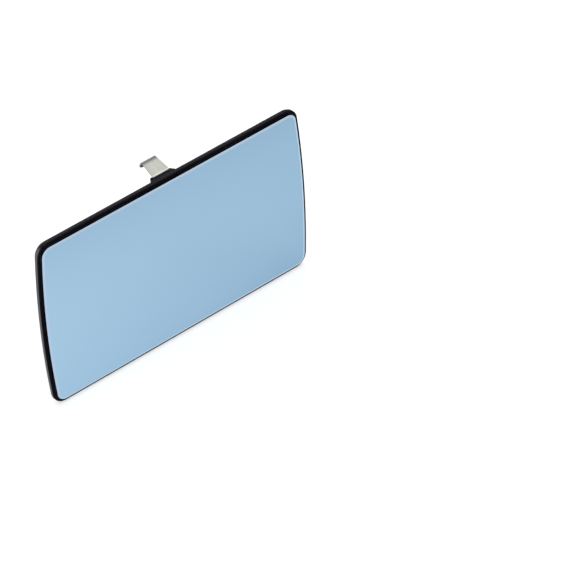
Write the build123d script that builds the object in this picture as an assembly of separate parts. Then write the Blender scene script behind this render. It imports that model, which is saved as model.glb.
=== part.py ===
from build123d import *
import math
import os

# Door mirror glass: a flat tinted mirror bonded to a moulded backing plate.
# The back of the plate has a ball socket, a guide fork, stiffening ribs and a steel spring clip.
# Frame: X to the right seen from the front, Y from the glass to the back, Z up.
# The origin is the pivot, on the axis of the ball socket. All sizes are in millimetres.

# Outline of the plate, seen from the front
plate_width = 160.0  # from corner to corner
plate_height = 96.0
end_bow = 2.4  # how far the short ends bulge past the corners
corner_radius = 7.0

# Section of the plate and the glass, front to back
rim_depth = 3.6  # from the front lip to the back of the plate
flange_depth = 2.3  # the full-size front part of the rim
flange_step = 0.7  # how far the back body stands in from the flange
lip_width = 1.8  # black border left around the glass
rim_round = 0.5
glass_thickness = 2.0
glass_proud = 1.4  # how far the glass stands out of the lip
glass_gap = 0.1  # play between the glass and the wall of its pocket
glass_bevel_width = 1.2  # ground off the front of the glass
glass_bevel_depth = 0.5
heater_thickness = 0.4
heater_margin = 1.5  # how far the heating foil stops short of the glass edge

# Ball socket
socket_radius = 9.0
socket_bore_radius = 7.0
socket_height = 14.2  # rim above the back of the plate
socket_floor = 2.0  # floor of the bore above the back of the plate
pivot_below_rim = 6.2
socket_lead_in = 0.8
socket_root_round = 0.8

# Stepped panels on the back, placed from the edges of the plate
panel_left_margin = 24.4
panel_right_margin = 32.4
panel_top_margin = 23.0
panel_low_margin = 22.0
panel_step = 0.7
panel_corner = 3.0
inner_panel_width = 45.0
inner_panel_height = 26.0
inner_panel_x = 1.2
inner_panel_z = -1.2
inner_panel_step = 0.5
edge_break = 0.25  # small bevel on every raised panel and rib

# Barrel-shaped stiffening ring round the socket, and the ribs to two corners
ring_width = 54.0  # from corner to corner, outside
ring_height = 46.0
ring_bow = 7.4
ring_corner = 3.0
ring_x = 1.6
ring_z = -2.0
rib_thickness = 1.3
rib_height = 1.3  # above the stepped panel
corner_rib_rise = 18.0  # where a corner rib leaves the ring, above or below its middle
corner_rib_from_end = 14.4
corner_rib_from_edge = 9.3
corner_rib_end = 0.3  # height where a corner rib runs out

# Ejector marks near the corners
mark_radius = 1.7
mark_depth = 0.25
mark_from_end = 7.9
mark_from_edge = 7.5

# Guide fork, placed from the right-hand end of the plate
fork_from_end = 5.8
fork_length = 23.2
fork_z = -5.2  # middle of the gap
fork_gap = 10.2
fork_floor = 3.4  # floor of the gap above the back of the plate
cross_wall_height = 10.0
cheek_thickness = 1.2
cheek_rise = 4.0  # from the cross wall to where the cheeks start to climb
cheek_foot_height = 10.6  # height of the cheeks there
crown_reach = 12.6  # from the cross wall to the crown of the cheeks
crown_height = 17.0
tip_overhang = 1.6  # how far the tips stop short of the foot
tip_height = 15.2
heel_height = 6.4  # height of the foot under the tips
ledge_reach = 8.8  # from the cross wall to the start of the side ledge
ledge_width = 3.6
ledge_height = 9.6
stay_thickness = 3.4
stay_width = 7.8
stay_round = 3.0

# Round-nosed pad between the ring and the fork, placed from the cross wall
pad_reach = 15.2
pad_tail = 3.6  # how far it runs on under the fork
pad_z = -17.5
pad_height = 29.4
pad_step = 1.8
pad_corner = 2.2
nose_reach = 3.6
nose_z = -17.8
nose_radius = 12.0
nose_step = 4.6
shoulder_reach = 10.8  # where the straight flanks start
flank_height = 24.5

# Spring clip, placed from the top edge of the plate
clip_x = -1.0  # middle of the clip
clip_width = 10.2
clip_thickness = 0.5
clip_gap = 0.1
clip_reach = 22.6  # how far the clip lies in from the top edge
clip_end_round = 0.8
clip_bend_radius = 0.7  # inside the bend
clip_tail_angle = 19.0  # degrees that the tail rises away from straight back
clip_tail_length = 8.4
clip_tail_width = 8.6  # at the crease
clip_crease_radius = 0.8  # inside the crease
clip_crease_angle = 84.0  # degrees between the tail and the tongue
clip_tongue_length = 4.6
clip_tongue_round = 3.0  # corners of the tongue
clip_hole_radius = 1.5
clip_hole_inset = 4.5  # from the inner end of the clip

# Guide for the clip: a raised bed with sloping sides, lips along the clip and two bridges
guide_lip = 0.7  # how far each lip reaches over the clip
guide_rail = 0.7  # width left beside the clip, at the top
guide_slope = 1.7  # how far each side runs out to its base
guide_margin = 1.0  # guide beyond the inner end of the clip
bed_height = 1.3
bridge_depth = 4.4
bridge_thickness = 0.6
first_bridge_inset = 6.4  # from the inner end of the clip
second_bridge_reach = 7.5  # from the top edge of the plate
peg_gap = 0.15

# Heater contacts: slotted rivet heads with a small lug, placed from the end and the top edge
upper_contact_from_end = 20.8
upper_contact_from_edge = 18.1
lower_contact_from_end = 17.5
lower_contact_from_edge = 26.4
contact_hole_radius = 1.6
contact_gap = 0.05
contact_head_radius = 3.3
contact_head_height = 1.0
contact_head_bevel = 0.35
contact_slot_width = 1.3
contact_slot_depth = 0.7
contact_turn = -36.0  # degrees from X to the slot and the lug
contact_lug_reach = 5.8
contact_lug_radius = 1.15
contact_neck_width = 1.3
contact_neck_height = 0.4

# Depths along Y, half sizes of the plate, and the run of the clip
rim_top = pivot_below_rim
back = rim_top - socket_height  # back of the plate
lip_front = back - rim_depth
glass_front = lip_front - glass_proud
glass_back = glass_front + glass_thickness
pocket_floor = glass_back + heater_thickness
root = (back - pocket_floor) / 2  # how deep every raised feature is rooted in the plate
half_length = plate_width / 2 + end_bow
half_height = plate_height / 2
panel_top = back + panel_step + inner_panel_step
clip_start = half_height - clip_reach
clip_bed = back + bed_height
clip_roof = clip_bed + clip_thickness + clip_gap  # underside of the bridges
guide_rear = clip_roof + bridge_thickness


def slab(sketch, front, rear):
    """Extrude a sketch drawn in X and Z from one depth to another."""
    return extrude(Plane.XZ.offset(-front) * sketch, amount=rear - front, dir=(0, 1, 0))


def rear_edges(solid):
    """Edges round the rearmost face of a solid."""
    return solid.faces().sort_by(Axis.Y)[-1].edges()


def front_edges(solid):
    """Edges round the foremost face of a solid."""
    return solid.faces().sort_by(Axis.Y)[0].edges()


def raised(sketch, height):
    """Feature that stands on the back of the plate, with broken rear edges."""
    solid = slab(sketch, back - root, back + height)
    return chamfer(rear_edges(solid), edge_break)


def span_box(x_from, x_to, z_from, z_to):
    """Rectangle between limits in X and Z."""
    return Pos((x_from + x_to) / 2, (z_from + z_to) / 2) * Rectangle(x_to - x_from, z_to - z_from)


def barrel(width, height, bow, radius, inset=0.0):
    """Outline with straight long edges and bowed ends, drawn in by an inset."""
    bow_radius = ((height / 2) ** 2 + bow**2) / (2 * bow)
    bow_centre = width / 2 + bow - bow_radius
    top = height / 2 - inset
    apex = width / 2 + bow - inset
    corner = bow_centre + math.sqrt((bow_radius - inset) ** 2 - top**2)
    right = ThreePointArc((corner, top), (apex, 0), (corner, -top))
    left = ThreePointArc((-corner, -top), (-apex, 0), (-corner, top))
    upper = Line((-corner, top), (corner, top))
    lower = Line((corner, -top), (-corner, -top))
    face = make_face([upper, right, lower, left])
    return fillet(face.vertices(), radius - inset)


def plate_outline(inset=0.0):
    """Outline of the plate, drawn in by an inset."""
    return barrel(plate_width, plate_height, end_bow, corner_radius, inset)


def make_glass():
    """Flat mirror glass with a ground bevel round its front edge."""
    glass = slab(plate_outline(lip_width + glass_gap), glass_front, glass_back)
    face = glass.faces().sort_by(Axis.Y)[0]
    return chamfer(face.edges(), glass_bevel_width, glass_bevel_depth, reference=face)


def make_heater():
    """Heating foil between the glass and the plate."""
    return slab(plate_outline(lip_width + glass_gap + heater_margin), glass_back, pocket_floor)


def make_rim():
    """Tray of the plate: front flange, narrower back body, and the pocket for the glass."""
    flange = slab(plate_outline(), lip_front, lip_front + flange_depth)
    flange = fillet(front_edges(flange) + rear_edges(flange), rim_round)
    body = slab(plate_outline(flange_step), lip_front + rim_round, back)
    body = fillet(rear_edges(body), rim_round)
    return flange + body - slab(plate_outline(lip_width), lip_front, pocket_floor)


def make_panels():
    """Two stepped panels, and the barrel-shaped ring of rib round the socket."""
    outer = span_box(
        panel_left_margin - half_length,
        half_length - panel_right_margin,
        panel_low_margin - half_height,
        half_height - panel_top_margin,
    )
    outer = raised(fillet(outer.vertices(), panel_corner), panel_step)
    inner = RectangleRounded(inner_panel_width, inner_panel_height, panel_corner)
    inner = raised(Pos(inner_panel_x, inner_panel_z) * inner, panel_step + inner_panel_step)
    ring = barrel(ring_width, ring_height, ring_bow, ring_corner)
    ring -= barrel(ring_width, ring_height, ring_bow, ring_corner, rib_thickness)
    return outer + inner + raised(Pos(ring_x, ring_z) * ring, panel_step + rib_height)


def make_socket():
    """Post of the ball socket, with a hollow curve where it meets the inner panel."""
    toe = socket_radius + socket_root_round
    curve = CenterArc((toe, panel_top + socket_root_round), socket_root_round, 180, 90)
    base = Polyline((0, back - root), (toe, back - root), (toe, panel_top))
    post = Polyline((socket_radius, panel_top + socket_root_round), (socket_radius, rim_top), (0, rim_top))
    axis_line = Line((0, rim_top), (0, back - root))
    solid = revolve(make_face([base, curve, post, axis_line]), Axis.Y)
    return chamfer(rear_edges(solid), edge_break)


def make_corner_rib(side):
    """Rib from the bowed end of the ring towards a corner of the plate, sloping down to its end.

    side is 1 for the upper corner and -1 for the lower one.
    """
    middle_height = ring_height - rib_thickness
    bow_radius = ((middle_height / 2) ** 2 + ring_bow**2) / (2 * ring_bow)
    bow_drop = bow_radius - math.sqrt(bow_radius**2 - corner_rib_rise**2)
    start_x = ring_x - ring_width / 2 - ring_bow + rib_thickness / 2 + bow_drop
    start = Vector(start_x, 0, ring_z + side * corner_rib_rise)
    end = Vector(corner_rib_from_end - half_length, 0, side * (half_height - corner_rib_from_edge))
    along = (end - start).normalized()
    length = (end - start).length
    frame = Plane(origin=start, x_dir=along, z_dir=along.cross(Vector(0, 1, 0)))
    profile = Polygon(
        (0, back - root),
        (length, back - root),
        (length, back + corner_rib_end),
        (0, back + panel_step + rib_height - edge_break),
        align=None,
    )
    return extrude(frame * profile, amount=rib_thickness / 2, both=True)


def cut_socket_bore():
    """Bore of the socket, with a lead-in at its mouth."""
    bore = slab(Circle(socket_bore_radius), back + socket_floor, rim_top)
    throat = Plane.XZ.offset(socket_lead_in - rim_top) * Circle(socket_bore_radius)
    mouth = Plane.XZ.offset(-rim_top) * Circle(socket_bore_radius + socket_lead_in)
    return bore + loft([throat, mouth])


def make_pad(fork_start):
    """Stepped pad between the ring and the fork, with a round nose."""
    pad_end = fork_start + pad_tail
    low = span_box(fork_start - pad_reach, pad_end, pad_z - pad_height / 2, pad_z + pad_height / 2)
    low = fillet(low.vertices(), pad_corner)
    shoulder = fork_start - shoulder_reach
    flanks = span_box(shoulder, pad_end, nose_z - flank_height / 2, nose_z + flank_height / 2)
    nose = Pos(fork_start - nose_reach, nose_z) * Circle(nose_radius) + flanks
    return raised(low, pad_step) + raised(nose, nose_step)


def make_fork(fork_start):
    """Guide fork: two climbing cheeks on a foot, a cross wall, a side ledge and an end stay."""
    foot = back - root
    fork_end = fork_start + fork_length
    profile = Polygon(
        (fork_start, foot),
        (fork_start, back + cross_wall_height),
        (fork_start + cheek_rise, back + cheek_foot_height),
        (fork_start + crown_reach, back + crown_height),
        (fork_end - tip_overhang, back + tip_height),
        (fork_end, back + heel_height),
        (fork_end, foot),
        align=None,
    )
    low_side = fork_z - fork_gap / 2 - cheek_thickness
    high_side = fork_z + fork_gap / 2 + cheek_thickness
    fork = slab(span_box(fork_start, fork_end, low_side, high_side), foot, back + fork_floor)
    for cheek in (low_side, high_side - cheek_thickness):
        fork += extrude(Plane.XY.offset(cheek) * profile, amount=cheek_thickness, dir=(0, 0, 1))
    cross = span_box(fork_start, fork_start + cheek_thickness, low_side, high_side)
    fork += slab(cross, foot, back + cross_wall_height)
    heel = span_box(fork_end - cheek_thickness, fork_end, low_side, high_side)
    fork += slab(heel, foot, back + heel_height)
    inside = high_side - cheek_thickness / 2
    ledge = span_box(fork_start + ledge_reach, fork_end, inside, high_side + ledge_width)
    fork += slab(ledge, foot, back + ledge_height)
    stay = span_box(fork_end - stay_thickness, fork_end, inside, high_side + stay_width)
    stay = slab(stay, foot, back + ledge_height)
    crown = stay.edges().filter_by(Axis.X).group_by(Axis.Y)[-1].sort_by(Axis.Z)[-1]
    return fork + fillet(crown, stay_round)


def cut_fork_gap(fork_start):
    """Clear way through the fork between its cheeks, above its floor."""
    gap = span_box(
        fork_start + cheek_thickness,
        fork_start + fork_length - cheek_thickness,
        fork_z - fork_gap / 2,
        fork_z + fork_gap / 2,
    )
    return slab(gap, back + fork_floor, back + crown_height)


def make_clip_guide():
    """Raised guide with sloping sides, from below the inner end of the clip to the top edge of the plate."""
    start = clip_start - guide_margin
    top = clip_width / 2 + clip_gap + guide_rail
    base = top + guide_slope
    section = Polygon(
        (clip_x - base, back - root),
        (clip_x - base, back),
        (clip_x - top, guide_rear),
        (clip_x + top, guide_rear),
        (clip_x + base, back),
        (clip_x + base, back - root),
        align=None,
    )
    length = half_height - flange_step - start
    return extrude(Plane.XY.offset(start) * section, amount=length, dir=(0, 0, 1))


def cut_clip_slot():
    """Room for the clip above its bed: a slot that is open to the rear between its lips and two bridges."""
    side = clip_width / 2 + clip_gap
    mouth = clip_width / 2 - guide_lip
    slot = slab(span_box(clip_x - side, clip_x + side, clip_start, half_height), clip_bed, clip_roof)
    window = span_box(clip_x - mouth, clip_x + mouth, clip_start, half_height)
    for bridge in (clip_start + first_bridge_inset, half_height - second_bridge_reach):
        window -= span_box(clip_x - mouth, clip_x + mouth, bridge, bridge + bridge_depth)
    return slot + slab(window, clip_roof, guide_rear)


def make_clip_catch():
    """Snap finger on the first bridge, with a peg that drops into the hole of the clip."""
    radius = clip_hole_radius - peg_gap
    hole_z = clip_start + clip_hole_inset
    tip = Pos(clip_x, hole_z) * Circle(radius)
    bridge = clip_start + first_bridge_inset + bridge_depth / 2
    finger = span_box(clip_x - radius, clip_x + radius, hole_z, bridge) + tip
    return slab(finger, clip_roof, guide_rear) + slab(tip, back, clip_roof)


def contact_place(from_end, from_edge):
    """Location of a heater contact on the back of the plate."""
    return Pos(half_length - from_end, 0, half_height - from_edge)


def make_plate():
    """Backing plate, moulded in one piece."""
    fork_start = half_length - fork_from_end - fork_length
    plate = make_rim() + make_panels() + make_socket() + make_pad(fork_start) + make_fork(fork_start)
    plate -= cut_fork_gap(fork_start)
    for side in (1, -1):
        plate += make_corner_rib(side)
    plate = plate + make_clip_guide() - cut_clip_slot() + make_clip_catch()
    plate -= cut_socket_bore()
    marks = GridLocations(2 * (half_length - mark_from_end), 2 * (half_height - mark_from_edge), 2, 2)
    for mark in marks:
        plate -= slab(mark * Circle(mark_radius), back - mark_depth, back)
    for place in (upper_contact, lower_contact):
        plate -= place * slab(Circle(contact_hole_radius), pocket_floor, back)
    return plate


def make_clip():
    """Spring clip: a flat steel strip, bent back at the top edge and creased to a round tongue."""
    half = clip_thickness / 2
    level = clip_bed + half
    flat = Line((level, clip_start), (level, half_height - flange_step))
    bend = JernArc(flat @ 1, flat % 1, clip_bend_radius + half, clip_tail_angle - 90)
    tail = PolarLine(bend @ 1, clip_tail_length, direction=bend % 1)
    crease = JernArc(tail @ 1, tail % 1, clip_crease_radius + half, -clip_crease_angle)
    tongue = PolarLine(crease @ 1, clip_tongue_length, direction=crease % 1)
    side_plane = Plane(origin=(clip_x, 0, 0), x_dir=(0, 1, 0), z_dir=(1, 0, 0))
    section = trace([flat, bend, tail, crease, tongue], clip_thickness)
    strip = extrude(side_plane * section, amount=clip_width / 2, both=True)
    strip = fillet(strip.edges().filter_by(Axis.Y).group_by(Axis.Z)[0], clip_end_round)
    hole = Pos(clip_x, clip_start + clip_hole_inset) * Circle(clip_hole_radius)
    strip -= slab(hole, clip_bed, clip_roof)
    taper_from = (bend @ 1).X
    taper_to = (tail @ 1).X
    beyond = taper_to + clip_tongue_length
    waste = Polygon(
        (clip_x + clip_width / 2, taper_from),
        (clip_x + clip_tail_width / 2, taper_to),
        (clip_x + clip_tail_width / 2, beyond),
        (clip_x + clip_width, beyond),
        (clip_x + clip_width, taper_from),
        align=None,
    )
    waste = extrude(waste, amount=2 * half_height, dir=(0, 0, 1))
    strip = strip - waste - mirror(waste, Plane.YZ.offset(clip_x))
    end = side_plane.from_local_coords(tongue @ 1)
    tongue_corners = strip.edges().filter_by(lambda edge: abs(edge.length - clip_thickness) < clip_gap)
    return fillet(tongue_corners.sort_by_distance(end)[:2], clip_tongue_round)


def make_contact():
    """Heater contact: a shank through the plate, a slotted round head, and a lug on a narrow neck."""
    shank = slab(Circle(contact_hole_radius - contact_gap), pocket_floor, back)
    head = slab(Circle(contact_head_radius), back, back + contact_head_height)
    head = chamfer(rear_edges(head), contact_head_bevel)
    slot = Rot(0, 0, contact_turn) * Rectangle(2 * contact_head_radius, contact_slot_width)
    head -= slab(slot, back + contact_head_height - contact_slot_depth, back + contact_head_height)
    neck = Rectangle(contact_lug_reach, contact_neck_width, align=(Align.MIN, Align.CENTER))
    lug = neck + Pos(contact_lug_reach, 0) * Circle(contact_lug_radius)
    return shank + head + slab(Rot(0, 0, contact_turn) * lug, back, back + contact_neck_height)


upper_contact = contact_place(upper_contact_from_end, upper_contact_from_edge)
lower_contact = contact_place(lower_contact_from_end, lower_contact_from_edge)
parts = {
    "mirror_glass": make_glass(),
    "heater_foil": make_heater(),
    "backing_plate": make_plate(),
    "spring_clip": make_clip(),
    "heater_contact_upper": upper_contact * make_contact(),
    "heater_contact_lower": lower_contact * make_contact(),
}

os.makedirs("parts", exist_ok=True)
for name, part in parts.items():
    export_step(part, f"parts/{name}.step")
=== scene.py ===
"""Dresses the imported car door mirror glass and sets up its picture.

The six solids keep their shapes and places. Each sub-assembly below gives its solids their finish, and the
studio lays a pale floor under them, hangs soft lamps round them and sets the camera. Lengths are in metres,
in the frame of the solids: X to the right seen from the front, Y from the glass to the back, Z up.
"""

import logging
from dataclasses import dataclass
from enum import Enum
from typing import Union

import bpy
import numpy as np
from mathutils import Matrix, Vector

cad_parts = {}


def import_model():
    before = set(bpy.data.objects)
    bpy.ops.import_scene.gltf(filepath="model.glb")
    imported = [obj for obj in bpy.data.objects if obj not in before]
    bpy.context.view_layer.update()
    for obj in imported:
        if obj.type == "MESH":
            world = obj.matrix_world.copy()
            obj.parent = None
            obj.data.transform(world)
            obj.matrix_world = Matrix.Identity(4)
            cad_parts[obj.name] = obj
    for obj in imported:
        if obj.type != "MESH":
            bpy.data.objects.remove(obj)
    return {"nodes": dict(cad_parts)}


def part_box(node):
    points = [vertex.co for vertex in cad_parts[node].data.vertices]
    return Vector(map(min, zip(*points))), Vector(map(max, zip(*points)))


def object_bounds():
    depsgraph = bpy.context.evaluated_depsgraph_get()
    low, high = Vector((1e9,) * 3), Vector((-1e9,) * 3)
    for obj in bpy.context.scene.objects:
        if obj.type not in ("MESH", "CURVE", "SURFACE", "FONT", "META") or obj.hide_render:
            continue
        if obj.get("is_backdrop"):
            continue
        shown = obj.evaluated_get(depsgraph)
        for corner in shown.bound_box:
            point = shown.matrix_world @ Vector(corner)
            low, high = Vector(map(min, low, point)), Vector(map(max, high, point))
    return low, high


LOG = logging.getLogger("mirror_glass")

Colour = tuple[float, float, float]
Triple = tuple[float, float, float]
Span = tuple[float, float]
Feed = Union[bpy.types.NodeSocket, float, tuple]

RISING: Span = (0.0, 1.0)
FALLING: Span = (1.0, 0.0)
MOST_NOISE: Span = (0.3, 0.7)  # the span that cloudy noise mostly keeps to
OFF_THE_PART = 1.0  # a place along an axis that no piece reaches
WHITE: Colour = (1.0, 1.0, 1.0)


class Effect(Enum):
    """Effects that several finishes share, each under the name of its node group."""

    ROUNDED_EDGES = "rounded_edges"
    SURFACE_GRAIN = "surface_grain"
    HANDLING_MARKS = "handling_marks"
    # painted shade: darkens corners and slots by how closed in they are
    GRIME = "grime"


class GrainRun(Enum):
    """Which way the lines of a drawn or rolled sheet run, as the share of cells along X, Y and Z."""

    NO_WAY = (1.0, 1.0, 1.0)
    ALONG_STRIP = (1.0, 0.02, 0.02)


class LampRole(Enum):
    """What each lamp of the studio is for."""

    KEY = "key_lamp"
    FILL = "fill_lamp"
    BACK = "back_lamp"


def rgba(colour: Colour) -> tuple[float, float, float, float]:
    """The colour with an opaque fourth value."""
    return (*colour, 1.0)


def around(middle: float, swing: float) -> Span:
    """The span that reaches equally far below and above a value."""
    return (middle - swing, middle + swing)


def up_to(end: float, width: float) -> Span:
    """The span of a given width that ends at a value."""
    return (end - width, end)


class Graph:
    """A node tree that is being wired."""

    def __init__(self, tree: bpy.types.NodeTree) -> None:
        """Takes the tree and empties it."""
        self.tree = tree
        self.tree.nodes.clear()

    def add(self, kind: str, **settings: object) -> bpy.types.Node:
        """Adds a node.

        Args:
            kind: The name of the node's type.
            settings: The node's own settings, such as an operation.

        Returns:
            The new node.
        """
        node = self.tree.nodes.new(kind)
        for name, value in settings.items():
            setattr(node, name, value)
        return node

    def feed(self, target: bpy.types.NodeSocket, source: Feed) -> None:
        """Gives a socket its value.

        Args:
            target: The socket that takes the value.
            source: The socket to link to it, or a plain value to set on it.
        """
        if isinstance(source, bpy.types.NodeSocket):
            self.tree.links.new(source, target)
        else:
            target.default_value = source

    def math(self, operation: str, first: Feed, second: Feed = 0.0) -> bpy.types.NodeSocket:
        """Works out one number from two.

        Args:
            operation: The name of the operation, such as SUBTRACT.
            first: The first number.
            second: The second number.

        Returns:
            The socket with the result.
        """
        node = self.add("ShaderNodeMath", operation=operation)
        self.feed(node.inputs[0], first)
        self.feed(node.inputs[1], second)
        return node.outputs[0]

    def plus(self, first: Feed, second: Feed) -> bpy.types.NodeSocket:
        """The sum of two numbers."""
        return self.math("ADD", first, second)

    def times(self, first: Feed, second: Feed) -> bpy.types.NodeSocket:
        """The product of two numbers."""
        return self.math("MULTIPLY", first, second)

    def ramp(self, value: Feed, source: Span, target: Span = RISING) -> bpy.types.NodeSocket:
        """Carries a number smoothly from one span to another and holds it at the ends.

        Args:
            value: The number.
            source: The span that it comes from.
            target: The span that it goes to.

        Returns:
            The socket with the result.
        """
        node = self.add("ShaderNodeMapRange", interpolation_type="SMOOTHSTEP")
        self.feed(node.inputs["Value"], value)
        node.inputs["From Min"].default_value, node.inputs["From Max"].default_value = source
        node.inputs["To Min"].default_value, node.inputs["To Max"].default_value = target
        return node.outputs["Result"]

    def blend(self, share: Feed, first: Feed, second: Feed) -> bpy.types.NodeSocket:
        """Mixes two colours.

        Args:
            share: How much of the second colour there is. Past 0 or 1 it is held there.
            first: The first colour, a socket or four numbers.
            second: The second colour, a socket or four numbers.

        Returns:
            The socket with the mixed colour.
        """
        node = self.add("ShaderNodeMix", data_type="RGBA")
        self.feed(node.inputs[0], share)
        self.feed(node.inputs[6], first)
        self.feed(node.inputs[7], second)
        return node.outputs[2]

    def place(self) -> bpy.types.NodeSocket:
        """The place on the piece, in metres in the frame of the solids."""
        return self.add("ShaderNodeTexCoord").outputs["Object"]

    def facing(self) -> bpy.types.NodeSocket:
        """The direction that the face looks in."""
        return self.add("ShaderNodeNewGeometry").outputs["True Normal"]

    def split(self, vector: Feed) -> tuple[bpy.types.NodeSocket, ...]:
        """Takes a vector apart.

        Args:
            vector: The vector.

        Returns:
            The sockets with its X, Y and Z.
        """
        node = self.add("ShaderNodeSeparateXYZ")
        self.feed(node.inputs[0], vector)
        return tuple(node.outputs)

    def cells(self, per_metre: Feed, share: float = 1.0) -> bpy.types.NodeSocket:
        """Counts the place in cells of a pattern.

        Args:
            per_metre: How many cells there are in a metre along X, Y and Z: a socket or three numbers.
            share: What each of those three is multiplied by.

        Returns:
            The socket with the place in cells.
        """
        counted = self.add("ShaderNodeVectorMath", operation="MULTIPLY")
        self.feed(counted.inputs[0], self.place())
        self.feed(counted.inputs[1], per_metre)
        if share == 1.0:
            return counted.outputs[0]
        scaled = self.add("ShaderNodeVectorMath", operation="MULTIPLY")
        self.feed(scaled.inputs[0], counted.outputs[0])
        self.feed(scaled.inputs[1], (share, share, share))
        return scaled.outputs[0]

    def noise(
        self, place: Feed, detail: float = 2.0, roughness: float = 0.5, distortion: float = 0.0
    ) -> bpy.types.NodeSocket:
        """Draws cloudy noise, one cloud to a cell.

        Args:
            place: The place in cells.
            detail: How many finer layers are added.
            roughness: How strong the finer layers are.
            distortion: How far the clouds are pulled about.

        Returns:
            The socket with the noise, around 0.5.
        """
        node = self.add("ShaderNodeTexNoise")
        self.feed(node.inputs["Vector"], place)
        node.inputs["Scale"].default_value = 1.0
        node.inputs["Detail"].default_value = detail
        node.inputs["Roughness"].default_value = roughness
        node.inputs["Distortion"].default_value = distortion
        return node.outputs["Fac"]

    def bump(self, relief: Feed, normal: Feed, strength: float, depth: float) -> bpy.types.NodeSocket:
        """Lays fine relief over a normal.

        Args:
            relief: The height of the relief, from 0 to 1.
            normal: The normal under it.
            strength: How much of the relief shows.
            depth: How deep it is.

        Returns:
            The socket with the new normal.
        """
        node = self.add("ShaderNodeBump")
        node.inputs["Strength"].default_value = strength
        node.inputs["Distance"].default_value = depth
        self.feed(node.inputs["Height"], relief)
        self.feed(node.inputs["Normal"], normal)
        return node.outputs["Normal"]

    def effect(self, effect: Effect, **inputs: Feed) -> bpy.types.Node:
        """Places a shared effect.

        Args:
            effect: Which one.
            inputs: The values of its inputs, by their names in lower case.

        Returns:
            The group's node.
        """
        node = self.add("ShaderNodeGroup", node_tree=bpy.data.node_groups[effect.value])
        for name, value in inputs.items():
            self.feed(node.inputs[name.capitalize()], value)
        return node

    def seen_directly(self) -> tuple[bpy.types.NodeSocket, bpy.types.NodeSocket]:
        """Marks the rays that show a surface as it is.

        Returns:
            A socket with 1 for mirror and glass rays, and one with 1 for those and for camera rays.
        """
        rays = self.add("ShaderNodeLightPath").outputs
        mirrored = self.math("MAXIMUM", rays["Is Glossy Ray"], rays["Is Transmission Ray"])
        return mirrored, self.math("MAXIMUM", rays["Is Camera Ray"], mirrored)


@dataclass(frozen=True)
class SharedEffects:
    """Builds the node groups that the finishes share."""

    bevel_samples: int = 6
    edge_span: Span = (0.02, 0.17)
    grain_detail: float = 3.0
    grain_roughness: float = 0.6
    drift_share: float = 0.125
    smear_detail: float = 5.0
    smear_roughness: float = 0.62
    smear_pull: float = 0.7
    smear_span: Span = (0.45, 0.75)
    broad_share: float = 0.3
    broad_detail: float = 1.0
    broad_span: Span = (0.42, 0.62)
    shade_samples: int = 6
    open_span: Span = (0.25, 0.85)

    def group(
        self, effect: Effect, inputs: dict[str, str], outputs: dict[str, str]
    ) -> tuple[Graph, bpy.types.Node, bpy.types.Node]:
        """Starts one group.

        Args:
            effect: Which effect it holds.
            inputs: The kind of socket of each input, by name.
            outputs: The kind of socket of each output, by name.

        Returns:
            The group's graph and its input and output nodes.
        """
        tree = bpy.data.node_groups.new(effect.value, "ShaderNodeTree")
        for direction, sockets in (("INPUT", inputs), ("OUTPUT", outputs)):
            for name, kind in sockets.items():
                tree.interface.new_socket(name=name, in_out=direction, socket_type=kind)
        graph = Graph(tree)
        return graph, graph.add("NodeGroupInput"), graph.add("NodeGroupOutput")

    def rounded_edges(self) -> None:
        """Rounds sharp edges in the light, and marks where they are.

        The mark is how far the rounded normal leans away from the face's own: 1 minus their dot product.
        """
        graph, given, result = self.group(
            Effect.ROUNDED_EDGES,
            {"Radius": "NodeSocketFloat"},
            {"Normal": "NodeSocketVector", "Edge": "NodeSocketFloat"},
        )
        bevel = graph.add("ShaderNodeBevel", samples=self.bevel_samples)
        graph.feed(bevel.inputs["Radius"], given.outputs["Radius"])
        alike = graph.add("ShaderNodeVectorMath", operation="DOT_PRODUCT")
        graph.feed(alike.inputs[0], bevel.outputs["Normal"])
        graph.feed(alike.inputs[1], graph.facing())
        lean = graph.math("SUBTRACT", 1.0, alike.outputs["Value"])
        graph.feed(result.inputs["Normal"], bevel.outputs["Normal"])
        graph.feed(result.inputs["Edge"], graph.ramp(lean, self.edge_span))

    def surface_grain(self) -> None:
        """Draws fine relief, and a slower drift of tone eight cells long."""
        graph, given, result = self.group(
            Effect.SURFACE_GRAIN,
            {"Cells": "NodeSocketVector"},
            {"Relief": "NodeSocketFloat", "Drift": "NodeSocketFloat"},
        )
        fine = graph.noise(graph.cells(given.outputs["Cells"]), self.grain_detail, self.grain_roughness)
        slow = graph.noise(graph.cells(given.outputs["Cells"], self.drift_share))
        graph.feed(result.inputs["Relief"], fine)
        graph.feed(result.inputs["Drift"], graph.ramp(slow, MOST_NOISE))

    def handling_marks(self) -> None:
        """Draws faint wiped smears: soft clouds, kept only where a broader cloud is strong."""
        graph, given, result = self.group(
            Effect.HANDLING_MARKS, {"Cells": "NodeSocketVector"}, {"Smear": "NodeSocketFloat"}
        )
        cloud = graph.noise(
            graph.cells(given.outputs["Cells"]), self.smear_detail, self.smear_roughness, self.smear_pull
        )
        broad = graph.noise(graph.cells(given.outputs["Cells"], self.broad_share), self.broad_detail)
        smear = graph.times(graph.ramp(cloud, self.smear_span), graph.ramp(broad, self.broad_span))
        graph.feed(result.inputs["Smear"], smear)

    def grime(self) -> None:
        """Finds the corners and slots to darken as painted shade: where near surfaces close a point in."""
        graph, given, result = self.group(
            Effect.GRIME, {"Reach": "NodeSocketFloat"}, {"Grime": "NodeSocketFloat"}
        )
        open_share = graph.add("ShaderNodeAmbientOcclusion", samples=self.shade_samples)
        graph.feed(open_share.inputs["Distance"], given.outputs["Reach"])
        graph.feed(result.inputs["Grime"], graph.ramp(open_share.outputs["AO"], self.open_span, FALLING))

    def build(self) -> None:
        """Builds every group once."""
        self.rounded_edges()
        self.surface_grain()
        self.handling_marks()
        self.grime()


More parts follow.
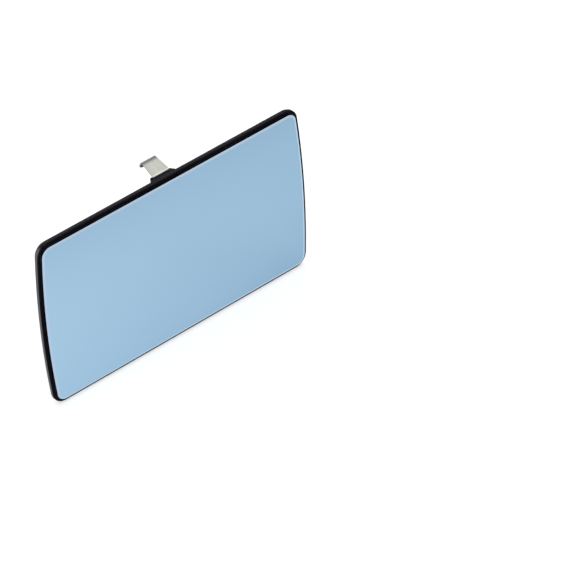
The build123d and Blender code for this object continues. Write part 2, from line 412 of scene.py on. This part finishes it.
@dataclass(frozen=True)
class Finish:
    """What every finish shares: a name, and a graph that ends in one Principled shader."""

    name: str

    def shader(self) -> tuple[bpy.types.Material, Graph, bpy.types.Node]:
        """Starts the material.

        Returns:
            The material, its graph and its shader node.
        """
        material = bpy.data.materials.new(self.name)
        material.use_nodes = True
        graph = Graph(material.node_tree)
        shader = graph.add("ShaderNodeBsdfPrincipled")
        output = graph.add("ShaderNodeOutputMaterial")
        graph.feed(output.inputs["Surface"], shader.outputs["BSDF"])
        return material, graph, shader

    def make(self) -> bpy.types.Material:
        """Makes the material; each finish has its own way."""
        raise NotImplementedError


@dataclass(frozen=True)
class SilveredGlass(Finish):
    """Blue-tinted mirror glass with a ground bevel round its polished face and dark sides behind that."""

    face_at: float = 0.0
    edge_width: float = 0.00003
    bevel_depth: float = 0.0005
    # painted reflection: the two tints below paint a bright-to-dim reflection gradient on the blue face
    bright_reflection_tint: Colour = (0.361, 0.558, 0.736)
    dim_reflection_tint: Colour = (0.246, 0.408, 0.566)
    ground_tint: Colour = (0.42, 0.565, 0.725)
    side_tint: Colour = (0.030, 0.050, 0.062)
    polish: float = 0.025
    smeared_polish: float = 0.075
    ground_roughness: float = 0.24
    coat: float = 0.35
    coat_roughness: float = 0.02
    smear_cells: Triple = (34.0, 34.0, 22.0)
    cloud_cells: Triple = (7.0, 7.0, 9.0)
    middle_share: float = 0.33
    cloud_swing: float = 0.06
    share_along: float = 3.6
    band_middle: float = -0.006
    band_slant: float = 0.1
    band_fall: float = 136.0

    def tint_with_painted_reflection(self, graph: Graph) -> bpy.types.NodeSocket:
        """Mixes the blue of the silvered face with a painted reflection: a gradient from bright to dim.

        The share of the dim reflection tint grows along X, and with the square of the height above or below
        a line that rises a little along X. Slow clouds move it up and down round its middle.

        Args:
            graph: The material's graph.

        Returns:
            The socket with the colour.
        """
        x, _, z = graph.split(graph.place())
        # painted reflection: it dims along X and away from a band round this line
        line = graph.plus(graph.times(x, self.band_slant), self.band_middle)
        fall = graph.math("POWER", graph.math("SUBTRACT", z, line), 2.0)
        drift = graph.plus(graph.times(x, self.share_along), graph.times(fall, self.band_fall))
        clouds = graph.noise(graph.cells(self.cloud_cells))
        cloud = graph.ramp(clouds, MOST_NOISE, around(self.middle_share, self.cloud_swing))
        return graph.blend(graph.plus(drift, cloud), rgba(self.bright_reflection_tint), rgba(self.dim_reflection_tint))

    def make(self) -> bpy.types.Material:
        """Makes the silvered face, the ground bevel and the dark sides.

        How far a point lies behind the face, along Y, says which of the three it is on.

        Returns:
            The material.
        """
        material, graph, shader = self.shader()
        _, y, _ = graph.split(graph.place())
        depth = graph.math("SUBTRACT", y, self.face_at)
        edge = graph.ramp(depth, up_to(2 * self.edge_width, self.edge_width))
        side = graph.ramp(depth, around(self.bevel_depth, self.edge_width))
        glass = graph.blend(edge, self.tint_with_painted_reflection(graph), rgba(self.ground_tint))
        graph.feed(shader.inputs["Base Color"], graph.blend(side, glass, rgba(self.side_tint)))
        smear = graph.effect(Effect.HANDLING_MARKS, cells=self.smear_cells).outputs["Smear"]
        polished = graph.ramp(smear, RISING, (self.polish, self.smeared_polish))
        ground = graph.times(edge, self.ground_roughness)
        graph.feed(shader.inputs["Roughness"], graph.math("MAXIMUM", polished, ground))
        shader.inputs["Metallic"].default_value = 1.0
        shader.inputs["Coat Weight"].default_value = self.coat
        shader.inputs["Coat Roughness"].default_value = self.coat_roughness
        return material


@dataclass(frozen=True)
class MouldedPlastic(Finish):
    """Near-black moulded plastic with a fine spark-eroded grain.

    Its lip is painted near black as shade, the sides of its rim are painted paler as lit where they face the
    ends, and faces that look back are paler, with flow clouds and a painted sheen. Outer edges and the rim's
    rear rounding are painted light: partly wear, partly painted highlight.
    """

    lip_at: float = 0.0
    lip_depth: float = 0.0004
    lip_fade: float = 0.0002
    # painted shade: the front of the lip is painted near black, as if in shade
    lip_painted_shade: Colour = (0.0010, 0.0014, 0.0030)
    rim_to: float = 0.0035
    rim_fade: float = 0.0001
    # painted light: the rim's sides that face the ends are painted paler, as if lit from the side
    lit_rim_sides: Colour = (0.1250, 0.1250, 0.1400)
    rim_light_share: float = 0.9
    body: Colour = (0.0085, 0.0077, 0.0135)
    # painted sheen: this paler tone comes with the flow clouds, strongest on faces that look back
    pale_flow_and_back_sheen: Colour = (0.0215, 0.0205, 0.0295)
    pale_beside: float = 0.2  # how pale faces are that don't look back, as a share
    facing_span: Span = (0.5, 0.85)
    flow_cells: Triple = (26.0, 26.0, 26.0)
    flow_detail: float = 3.0
    flow_roughness: float = 0.55
    flow_pull: float = 0.4
    pale_flow: Span = (0.2, 0.75)
    pale_smear: float = 0.25
    # painted shade: the colour that corners and slots are darkened to
    grime: Colour = (0.0015, 0.0014, 0.0016)
    shade_reach: float = 0.0018
    corner_shade_share: float = 0.7
    grain_cells: Triple = (2400.0, 2400.0, 2400.0)
    grain_depth: float = 0.00004
    grain_strength: float = 0.5
    smear_cells: Triple = (60.0, 60.0, 45.0)
    # partly wear, partly painted highlight on edges that catch the light
    worn_edge_and_highlight: Colour = (0.185, 0.185, 0.218)
    edge_radius: float = 0.00065
    outer_span: Span = (0.05, 0.45)  # corner shade beside an edge, from an outer edge to an inner corner
    turned_from: Span = (0.2, 0.45)
    turned_to: Span = (0.85, 0.97)
    upper_wear: float = 0.35
    wear_span: Span = (0.38, 0.62)
    least_wear: float = 0.4
    roughness: float = 0.42
    roughness_swing: float = 0.03
    smear_polish: float = 0.05
    edge_roughness: float = 0.22
    specular: float = 0.03

    def depth(self, graph: Graph) -> bpy.types.NodeSocket:
        """How far a point lies behind the front of the lip, along Y."""
        return graph.math("SUBTRACT", graph.split(graph.place())[1], self.lip_at)

    def beside(self, graph: Graph) -> bpy.types.NodeSocket:
        """Marks what lies no further back than the rim."""
        return graph.ramp(self.depth(graph), around(self.rim_to, self.rim_fade), FALLING)

    def tone(self, graph: Graph, flow: Feed, smear: Feed) -> bpy.types.NodeSocket:
        """Mixes the plain plastic, the rim's end sides painted paler as lit, and the lip painted dark as
        shade.

        Args:
            graph: The material's graph.
            flow: The slow clouds that the plastic's flow left.
            smear: The handling marks.

        Returns:
            The socket with the colour.
        """
        x, y, _ = graph.split(graph.facing())
        clouded = graph.plus(
            graph.ramp(flow, MOST_NOISE, self.pale_flow), graph.times(smear, self.pale_smear)
        )
        # painted light: faces that look back are paler, as a painted sheen
        back_sheen = graph.ramp(y, self.facing_span, (self.pale_beside, 1.0))
        plain = graph.blend(graph.times(clouded, back_sheen), rgba(self.body), rgba(self.pale_flow_and_back_sheen))
        # painted light: rim sides facing the ends are painted paler, as if lit
        endways = graph.ramp(graph.math("ABSOLUTE", x), self.facing_span, (0.0, self.rim_light_share))
        rim_lit = graph.blend(graph.times(endways, self.beside(graph)), plain, rgba(self.lit_rim_sides))
        # painted shade: the lip is darkened as if in shade
        lip = graph.ramp(self.depth(graph), (self.lip_depth, self.lip_depth + self.lip_fade), FALLING)
        return graph.blend(lip, rim_lit, rgba(self.lip_painted_shade))

    def wear_and_glint(self, graph: Graph, flow: Feed, edge: Feed, grime: Feed) -> bpy.types.NodeSocket:
        """Finds where the plastic is painted light: on outer edges, and where the rim's side turns to the
        back.

        This is partly wear and partly painted highlight. It is uneven, with the flow, and less on faces that
        look up.

        Args:
            graph: The material's graph.
            flow: The slow clouds that the plastic's flow left.
            edge: The mark of sharp edges.
            grime: The mark of closed-in corners, as used for painted shade, which tells an inner corner from
                an outer edge.

        Returns:
            The socket with the share of wear and painted highlight.
        """
        _, y, z = graph.split(graph.facing())
        outer = graph.times(edge, graph.ramp(grime, self.outer_span, FALLING))
        turned = graph.times(graph.ramp(y, self.turned_from), graph.ramp(y, self.turned_to, FALLING))
        rubbed_and_glinting = graph.math("MAXIMUM", outer, graph.times(turned, self.beside(graph)))
        upwards = graph.ramp(z, self.facing_span, (1.0, self.upper_wear))
        uneven = graph.ramp(flow, self.wear_span, (self.least_wear, 1.0))
        return graph.times(rubbed_and_glinting, graph.times(upwards, uneven))

    def make(self) -> bpy.types.Material:
        """Lays painted shade in corners and edges painted light (wear and painted highlight) over the
        plastic's tone, and the grain over rounded edges.

        Returns:
            The material.
        """
        material, graph, shader = self.shader()
        edges = graph.effect(Effect.ROUNDED_EDGES, radius=self.edge_radius)
        grain = graph.effect(Effect.SURFACE_GRAIN, cells=self.grain_cells)
        smear = graph.effect(Effect.HANDLING_MARKS, cells=self.smear_cells).outputs["Smear"]
        grime = graph.effect(Effect.GRIME, reach=self.shade_reach).outputs["Grime"]
        flow = graph.noise(
            graph.cells(self.flow_cells), self.flow_detail, self.flow_roughness, self.flow_pull
        )
        tone = self.tone(graph, flow, smear)
        wear_and_glint = self.wear_and_glint(graph, flow, edges.outputs["Edge"], grime)
        # painted shade: corners and slots are darkened
        corner_shaded = graph.blend(graph.times(grime, self.corner_shade_share), tone, rgba(self.grime))
        # edges painted light: partly wear, partly painted highlight
        graph.feed(shader.inputs["Base Color"], graph.blend(wear_and_glint, corner_shaded, rgba(self.worn_edge_and_highlight)))
        satin = graph.ramp(grain.outputs["Drift"], RISING, around(self.roughness, self.roughness_swing))
        smeared = graph.math("SUBTRACT", satin, graph.times(smear, self.smear_polish))
        polished = graph.times(wear_and_glint, self.roughness - self.edge_roughness)
        graph.feed(shader.inputs["Roughness"], graph.math("SUBTRACT", smeared, polished))
        grained = graph.bump(
            grain.outputs["Relief"], edges.outputs["Normal"], self.grain_strength, self.grain_depth
        )
        graph.feed(shader.inputs["Normal"], grained)
        graph.feed(shader.inputs["Coat Weight"], wear_and_glint)
        shader.inputs["Coat Roughness"].default_value = self.edge_roughness
        shader.inputs["Specular IOR Level"].default_value = self.specular
        return material


@dataclass(frozen=True)
class DrawnMetal(Finish):
    """Sheet metal with drawn or rolled lines, dull patches and bright edges: partly wear, partly painted
    highlight.

    It may have a crease at its top painted dark as a dim reflection, painted shade on its underside, and a
    greyer part below a height, painted as shade.
    """

    bright: Colour = (0.47, 0.475, 0.435)
    dull: Colour = (0.37, 0.37, 0.335)
    line_dulling: float = 0.45
    smear_dulling: float = 0.5
    # edge tint: partly wear, partly painted highlight
    edge_tint: Colour = (0.58, 0.575, 0.535)
    edge_radius: float = 0.00012
    # painted reflection: the crease is darkened as if it mirrored something dark
    crease_dim_reflection: Colour = (0.13, 0.13, 0.125)
    crease_at: float = OFF_THE_PART
    crease_band: float = 0.0008
    # painted shade: faces that look down and shaded sides darken to this colour
    under_shade_tint: Colour = (0.40, 0.395, 0.36)
    down_span: Span = (-0.45, -0.15)
    side_span: Span = (0.5, 0.85)
    shaded_from: float = OFF_THE_PART
    shaded_band: float = 0.0004
    # painted shade: the metal below a height is greyed
    low_painted_shade: Colour = (0.27, 0.27, 0.275)
    shade_below: float = -OFF_THE_PART
    low_shade_band: float = 0.002
    # painted shade: corners and slots of the metal darken to this colour
    grime: Colour = (0.045, 0.044, 0.042)
    shade_reach: float = 0.0020
    corner_shade_gain: float = 1.0
    run: GrainRun = GrainRun.NO_WAY
    line_cells: float = 4000.0
    line_depth: float = 0.000006
    line_strength: float = 0.4
    smear_cells: Triple = (260.0, 260.0, 260.0)
    roughness: float = 0.30
    roughness_swing: float = 0.06
    smear_roughness: float = 0.1

    def underside(self, graph: Graph) -> bpy.types.NodeSocket:
        """Marks faces that look down, and faces that look sideways from where the shade starts along Y.

        Args:
            graph: The material's graph.

        Returns:
            The socket with the mark.
        """
        across, _, up = graph.split(graph.facing())
        _, y, _ = graph.split(graph.place())
        sideways = graph.ramp(graph.math("ABSOLUTE", across), self.side_span)
        shaded = graph.ramp(y, up_to(self.shaded_from, self.shaded_band))
        downwards = graph.ramp(up, self.down_span, FALLING)
        return graph.math("MAXIMUM", downwards, graph.times(sideways, shaded))

    def tone(self, graph: Graph, drift: Feed, smear: Feed, edge: Feed) -> bpy.types.NodeSocket:
        """Dulls the metal where it was handled, paints shade low down and underneath and a dim reflection in
        the crease, and brightens its edges with wear and painted highlight.

        Args:
            graph: The material's graph.
            drift: The slow drift along the lines.
            smear: The handling marks.
            edge: The mark of sharp edges.

        Returns:
            The socket with the colour.
        """
        _, _, z = graph.split(graph.place())
        dulled = graph.plus(
            graph.times(drift, self.line_dulling), graph.times(smear, self.smear_dulling)
        )
        metal = graph.blend(dulled, rgba(self.bright), rgba(self.dull))
        # painted shade: the metal below a height is greyed
        low_shade = graph.ramp(z, up_to(self.shade_below, self.low_shade_band), FALLING)
        low_shaded = graph.blend(low_shade, metal, rgba(self.low_painted_shade))
        # painted reflection: the crease at the top is darkened
        crease = graph.ramp(z, up_to(self.crease_at, self.crease_band))
        creased = graph.blend(crease, low_shaded, rgba(self.crease_dim_reflection))
        # painted shade: the underside and the shaded sides are darkened
        under = self.underside(graph)
        lower = graph.blend(under, creased, rgba(self.under_shade_tint))
        # edges painted light: partly wear, partly painted highlight
        rubbed_and_glinting = graph.times(edge, graph.math("SUBTRACT", 1.0, under))
        return graph.blend(rubbed_and_glinting, lower, rgba(self.edge_tint))

    def make(self) -> bpy.types.Material:
        """Draws the lines as stretched noise over rounded edges, and lays painted shade in corners over the
        metal's tone.

        Returns:
            The material.
        """
        material, graph, shader = self.shader()
        edges = graph.effect(Effect.ROUNDED_EDGES, radius=self.edge_radius)
        cells = tuple(self.line_cells * share for share in self.run.value)
        lines = graph.effect(Effect.SURFACE_GRAIN, cells=cells)
        smear = graph.effect(Effect.HANDLING_MARKS, cells=self.smear_cells).outputs["Smear"]
        grime = graph.effect(Effect.GRIME, reach=self.shade_reach).outputs["Grime"]
        tone = self.tone(graph, lines.outputs["Drift"], smear, edges.outputs["Edge"])
        # painted shade: corners and slots are darkened
        corner_shaded = graph.blend(graph.times(grime, self.corner_shade_gain), tone, rgba(self.grime))
        graph.feed(shader.inputs["Base Color"], corner_shaded)
        swing = around(self.roughness, self.roughness_swing)
        satin = graph.ramp(lines.outputs["Relief"], MOST_NOISE, swing)
        smeared = graph.plus(satin, graph.times(smear, self.smear_roughness))
        graph.feed(shader.inputs["Roughness"], smeared)
        lined = graph.bump(
            lines.outputs["Relief"], edges.outputs["Normal"], self.line_strength, self.line_depth
        )
        graph.feed(shader.inputs["Normal"], lined)
        shader.inputs["Metallic"].default_value = 1.0
        return material


@dataclass(frozen=True)
class PrintedFilm(Finish):
    """Amber heating film with parallel tracks of grey conductive ink."""

    film: Colour = (0.30, 0.165, 0.070)
    ink: Colour = (0.20, 0.20, 0.21)
    track_pitch: float = 0.006
    track_share: float = 0.42
    grain_cells: Triple = (900.0, 900.0, 900.0)
    ink_span: Span = (0.2, 0.5)
    ink_cover: Span = (0.8, 1.0)
    roughness: Span = (0.42, 0.55)

    def make(self) -> bpy.types.Material:
        """Prints a track wherever the height, counted in pitches, is in the first share of a pitch.

        Returns:
            The material.
        """
        material, graph, shader = self.shader()
        _, _, z = graph.split(graph.place())
        row = graph.math("FRACT", graph.math("DIVIDE", z, self.track_pitch))
        track = graph.math("LESS_THAN", row, self.track_share)
        grain = graph.effect(Effect.SURFACE_GRAIN, cells=self.grain_cells)
        inked = graph.times(track, graph.ramp(grain.outputs["Relief"], self.ink_span, self.ink_cover))
        graph.feed(shader.inputs["Base Color"], graph.blend(inked, rgba(self.film), rgba(self.ink)))
        graph.feed(shader.inputs["Roughness"], graph.ramp(grain.outputs["Drift"], RISING, self.roughness))
        return material


@dataclass(frozen=True)
class FloorPaint(Finish):
    """Pale, matt paint that looks white where nothing shades it, and everywhere far from the object."""

    tone: float = 0.80
    cloud_tone: float = 0.82
    cloud_cells: Triple = (1.5, 1.5, 1.5)
    roughness: float = 0.9
    lift: float = 0.36
    mirrored_white: float = 0.75
    white_span: Span = (0.6, 1.6)

    def make(self) -> bpy.types.Material:
        """Lifts the paint where it is seen, and mixes in white in mirrors and far from the middle.

        Returns:
            The material.
        """
        material, graph, shader = self.shader()
        cloud = graph.noise(graph.cells(self.cloud_cells))
        paint = graph.blend(cloud, rgba((self.tone,) * 3), rgba((self.cloud_tone,) * 3))
        graph.feed(shader.inputs["Base Color"], paint)
        shader.inputs["Roughness"].default_value = self.roughness
        shader.inputs["Specular IOR Level"].default_value = 0.0
        shader.inputs["Emission Color"].default_value = rgba(WHITE)
        mirrored, seen = graph.seen_directly()
        graph.feed(shader.inputs["Emission Strength"], graph.times(seen, self.lift))
        reach = graph.add("ShaderNodeVectorMath", operation="LENGTH")
        graph.feed(reach.inputs[0], graph.place())
        far = graph.times(seen, graph.ramp(reach.outputs["Value"], self.white_span))
        whitened = graph.math("MAXIMUM", graph.times(mirrored, self.mirrored_white), far)
        white = graph.add("ShaderNodeEmission")
        white.inputs["Color"].default_value = rgba(WHITE)
        mixed = graph.add("ShaderNodeMixShader")
        graph.feed(mixed.inputs["Fac"], whitened)
        graph.feed(mixed.inputs[1], shader.outputs["BSDF"])
        graph.feed(mixed.inputs[2], white.outputs["Emission"])
        graph.feed(graph.tree.nodes["Material Output"].inputs["Surface"], mixed.outputs["Shader"])
        return material


def give_finish(node: bpy.types.Object, material: bpy.types.Material) -> None:
    """Gives a solid its one material.

    Args:
        node: The solid's object, whose mesh stays as it is.
        material: The finish that it gets.
    """
    node.data.materials.clear()
    node.data.materials.append(material)
    LOG.info("%s: %s on %d faces", node.name, material.name, len(node.data.polygons))


@dataclass
class GlassPack:
    """The mirror glass and the heating foil that bonds it to the plate."""

    glass: str = "mirror_glass"
    foil: str = "heater_foil"
    film: PrintedFilm = PrintedFilm("heater_film")

    def dress(self, nodes: dict[str, bpy.types.Object]) -> None:
        """Silvers the glass behind its front face and prints the foil.

        Args:
            nodes: The solids by name.
        """
        front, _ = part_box(self.glass)
        give_finish(nodes[self.glass], SilveredGlass("silvered_glass", face_at=front.y).make())
        give_finish(nodes[self.foil], self.film.make())


@dataclass
class BackingPlate:
    """The moulded plate that carries the glass, the socket, the fork and the clip."""

    plate: str = "backing_plate"

    def dress(self, nodes: dict[str, bpy.types.Object]) -> None:
        """Gives the plate its grained plastic, counted back from the front of its lip.

        Args:
            nodes: The solids by name.
        """
        front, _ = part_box(self.plate)
        give_finish(nodes[self.plate], MouldedPlastic("moulded_plastic", lip_at=front.y).make())


@dataclass
class SpringClip:
    """The bent strip of spring steel at the top edge."""

    clip: str = "spring_clip"
    plate: str = "backing_plate"
    tongue_depth: float = 0.0012
    # painted shade: the tongue's inner face and underside are painted near black
    painted_under_shade: Colour = (0.008, 0.008, 0.008)
    rubbed_edge: Colour = (0.30, 0.295, 0.28)

    def dress(self, nodes: dict[str, bpy.types.Object]) -> None:
        """Gives the strip rolled lines along it, a crease at the top painted dark as a dim reflection and
        painted shade on its underside.

        What lies below the top of the plate is painted greyer as shade, and the sides of the tongue are in
        the shade.

        Args:
            nodes: The solids by name.
        """
        _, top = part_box(self.clip)
        _, plate_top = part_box(self.plate)
        steel = DrawnMetal(
            "spring_steel",
            under_shade_tint=self.painted_under_shade,
            edge_tint=self.rubbed_edge,
            crease_at=top.z,
            shaded_from=top.y - self.tongue_depth,
            shade_below=plate_top.z,
            run=GrainRun.ALONG_STRIP,
        )
        give_finish(nodes[self.clip], steel.make())


@dataclass
class HeaterContacts:
    """The two slotted contacts of the heating foil."""

    contacts: tuple[str, str] = ("heater_contact_upper", "heater_contact_lower")
    tin: DrawnMetal = DrawnMetal(
        "tinned_contact",
        bright=(0.36, 0.36, 0.353),
        dull=(0.10, 0.10, 0.098),
        # bright edges: partly wear, partly painted highlight
        edge_tint=(0.62, 0.62, 0.61),
        under_shade_tint=(0.30, 0.30, 0.297),
        # painted shade: the strong gain paints the slots and the sides of the heads dark
        shade_reach=0.0022,
        corner_shade_gain=5.0,
        line_cells=2200.0,
        smear_cells=(420.0, 420.0, 420.0),
        roughness=0.24,
    )

    def dress(self, nodes: dict[str, bpy.types.Object]) -> None:
        """Tins both contacts alike.

        Args:
            nodes: The solids by name.
        """
        material = self.tin.make()
        for name in self.contacts:
            give_finish(nodes[name], material)


@dataclass(frozen=True)
class Lamp:
    """One soft square lamp that looks at the object."""

    role: LampRole
    place: Triple
    side: float
    watts: float

    def hang(self, target: Vector) -> bpy.types.Object:
        """Hangs the lamp and turns it to the target.

        Args:
            target: The point that it looks at.

        Returns:
            The lamp's object.
        """
        light = bpy.data.lights.new(self.role.value, "AREA")
        light.shape, light.size = "SQUARE", self.side
        light.energy = self.watts
        lamp = bpy.data.objects.new(self.role.value, light)
        lamp.location = self.place
        lamp.rotation_euler = (target - Vector(self.place)).to_track_quat("-Z", "Y").to_euler()
        bpy.context.scene.collection.objects.link(lamp)
        return lamp


@dataclass
class Studio:
    """The pale floor, the soft light and the camera."""

    floor_radius: float = 4.0
    floor_rings: int = 40
    floor_spokes: int = 96
    paint: FloorPaint = FloorPaint("floor_paint")
    ambient: float = 0.55
    lamps: tuple[Lamp, ...] = (
        Lamp(LampRole.KEY, (-1.20, -0.65, 0.80), 0.9, 9.0),
        Lamp(LampRole.FILL, (0.65, -0.65, 1.00), 1.5, 5.0),
        Lamp(LampRole.BACK, (0.35, 1.00, 1.05), 0.9, 7.0),
    )
    camera_place: Triple = (-0.93785, -1.28981, 1.22514)
    camera_right: Triple = (0.757088, -0.650960, -0.055399)
    camera_up: Triple = (0.437601, 0.442321, 0.782852)
    lens_mm: float = 256.31
    sensor_mm: float = 36.0
    nearest: float = 0.05
    farthest: float = 30.0

    def lay_floor(self, height: float) -> None:
        """Lays a round, flat floor.

        The point at ring share r and turn share t is at radius * r squared from the middle, at t of a full
        turn, so that the rings are close together under the object. A fan of triangles closes the middle.

        Args:
            height: The floor's height.
        """
        ring, turn = np.meshgrid(
            np.arange(1, self.floor_rings + 1) / self.floor_rings,
            np.arange(self.floor_spokes) / self.floor_spokes * 2 * np.pi,
            indexing="ij",
        )
        reach = self.floor_radius * ring**2
        points = np.stack([reach * np.cos(turn), reach * np.sin(turn), np.full_like(reach, height)], axis=-1)
        points = np.vstack([points.reshape(-1, 3), [[0.0, 0.0, height]]])
        index = np.arange(ring.size).reshape(ring.shape)
        inner, outer = index[:-1], index[1:]
        quads = np.stack([inner, outer, np.roll(outer, -1, axis=1), np.roll(inner, -1, axis=1)], axis=-1)
        middle = np.full(self.floor_spokes, len(points) - 1)
        fan = np.stack([middle, index[0], np.roll(index[0], -1)], axis=-1)
        mesh = bpy.data.meshes.new("pale_floor")
        mesh.from_pydata(points.tolist(), [], quads.reshape(-1, 4).tolist() + fan.tolist())
        floor = bpy.data.objects.new("pale_floor", mesh)
        bpy.context.scene.collection.objects.link(floor)
        mesh.materials.append(self.paint.make())
        floor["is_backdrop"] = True
        LOG.info("pale_floor: %d faces", len(mesh.polygons))

    def light_world(self) -> None:
        """Fills the room with even light, and shows it white."""
        world = bpy.data.worlds.new("white_room")
        world.use_nodes = True
        bpy.context.scene.world = world
        graph = Graph(world.node_tree)
        background = graph.add("ShaderNodeBackground")
        background.inputs["Color"].default_value = rgba(WHITE)
        _, seen = graph.seen_directly()
        graph.feed(background.inputs["Strength"], graph.ramp(seen, RISING, (self.ambient, 1.0)))
        output = graph.add("ShaderNodeOutputWorld")
        graph.feed(output.inputs["Surface"], background.outputs["Background"])

    def set_camera(self) -> bpy.types.Object:
        """Sets the camera from its place and the directions of its right and upper sides.

        Returns:
            The camera's object.
        """
        right, up = Vector(self.camera_right).normalized(), Vector(self.camera_up).normalized()
        turn = Matrix((right, up, right.cross(up))).transposed()
        data = bpy.data.cameras.new("studio_camera")
        data.lens, data.sensor_width = self.lens_mm, self.sensor_mm
        data.clip_start, data.clip_end = self.nearest, self.farthest
        camera = bpy.data.objects.new("studio_camera", data)
        camera.matrix_world = Matrix.Translation(Vector(self.camera_place)) @ turn.to_4x4()
        bpy.context.scene.collection.objects.link(camera)
        bpy.context.scene.camera = camera
        return camera

    def build(self, low: Vector, high: Vector) -> None:
        """Sets everything up round the object.

        Args:
            low: The object's lowest corner.
            high: The object's highest corner.
        """
        bpy.context.scene.view_settings.view_transform = "Standard"
        self.lay_floor(low.z)
        self.light_world()
        for lamp in self.lamps:
            LOG.info("%s: %.1f W", lamp.hang((low + high) / 2).name, lamp.watts)
        LOG.info("%s: %.0f mm", self.set_camera().name, self.lens_mm)


def main() -> None:
    """Loads the solids, dresses each sub-assembly in order and sets up the studio."""
    logging.basicConfig(level=logging.INFO, format="%(name)s: %(message)s")
    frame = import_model()
    solid_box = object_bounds()
    SharedEffects().build()
    for assembly in (GlassPack(), BackingPlate(), SpringClip(), HeaterContacts()):
        assembly.dress(frame["nodes"])
    Studio().build(*solid_box)


if __name__ == "__main__":
    main()
